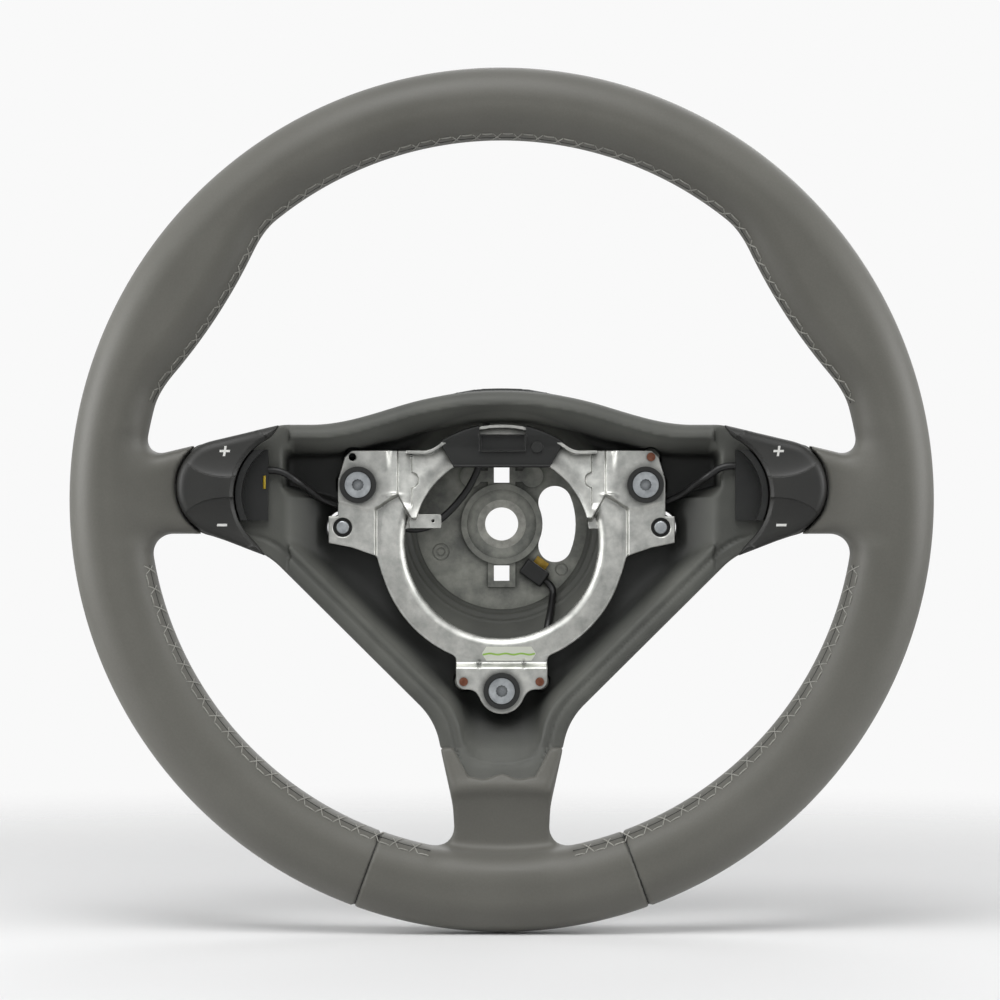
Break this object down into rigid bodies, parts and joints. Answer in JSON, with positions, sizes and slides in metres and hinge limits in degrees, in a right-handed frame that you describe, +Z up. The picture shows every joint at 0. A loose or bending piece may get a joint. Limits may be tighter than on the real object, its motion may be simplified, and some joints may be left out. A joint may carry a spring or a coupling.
{
  "type": "car steering wheel",
  "caption": "Leather-wrapped three-spoke car steering wheel with its air bag removed, showing the sprung horn plate, splined hub and thumb shift rockers.",
  "frame": {"origin": "centre of the hub's rear seat, on the steering axis", "axes": "+Y along the steering axis away from the driver, +Z up with the wheel straight ahead, +X to the driver's right"},
  "size_m": [0.38, 0.0805, 0.3799],
  "materials": {
    "leather": "grained grey leather, satin",
    "foam": "moulded grey polyurethane foam, matt",
    "alloy": "die-cast, dull",
    "steel": "turned",
    "core_steel": "drawn bar",
    "zinc_plate": "stamped, zinc-plated",
    "bolt_steel": "zinc-plated",
    "black_plastic": "moulded nylon",
    "soft_black_plastic": "soft-touch moulding",
    "spring_steel": "drawn wire",
    "copper": "plain copper rivets",
    "brass": "stamped",
    "lead_sheath": "smooth sheath",
    "board": "printed board",
    "dome_rubber": "moulded silicone"
  },
  "bodies": {
    "wheel": {"foam_body": "foam", "hub_casting": "alloy", "spline_bush": "steel", "rim_core": "core_steel", "leather_upper": "leather", "leather_lower": "leather", "horn_bolts": "bolt_steel", "horn_springs": "spring_steel", "ground_tab": "brass", "ground_connector": "black_plastic", "ground_lead": "lead_sheath", "left_pod_base": "black_plastic", "left_rocker_pin": "steel", "left_switch_board": "board", "left_switch_domes": "dome_rubber", "left_pod_screws": "bolt_steel", "left_pod_lead": "lead_sheath", "right_pod_base": "black_plastic", "right_rocker_pin": "steel", "right_switch_board": "board", "right_switch_domes": "dome_rubber", "right_pod_screws": "bolt_steel", "right_pod_lead": "lead_sheath"},
    "horn_carrier": {"horn_plate": "zinc_plate", "horn_bushes": "black_plastic", "horn_contacts": "copper", "contact_bridge": "black_plastic", "airbag_screws": "bolt_steel", "screw_sleeves": "black_plastic"},
    "left_rocker": {"left_shift_rocker": "soft_black_plastic"},
    "right_rocker": {"right_shift_rocker": "soft_black_plastic"}
  },
  "joints": [
    {"name": "horn_press", "type": "slide", "parent": "wheel", "child": "horn_carrier", "axis": [0, 1, 0], "range_m": [0, 0.0015], "stiffness_N_per_m": 15000, "springref_m": -0.003, "deforming": ["horn_springs"]},
    {"name": "left_shift", "type": "hinge", "parent": "wheel", "child": "left_rocker", "pos_m": [-0.1293, -0.068, 0.0164], "axis": [1, 0, 0], "range_deg": [-3, 3], "stiffness_Nm_per_rad": 0.6, "deforming": ["left_switch_domes"]},
    {"name": "right_shift", "type": "hinge", "parent": "wheel", "child": "right_rocker", "pos_m": [0.1293, -0.068, 0.0164], "axis": [1, 0, 0], "range_deg": [-3, 3], "stiffness_Nm_per_rad": 0.6, "deforming": ["right_switch_domes"]}
  ]
}
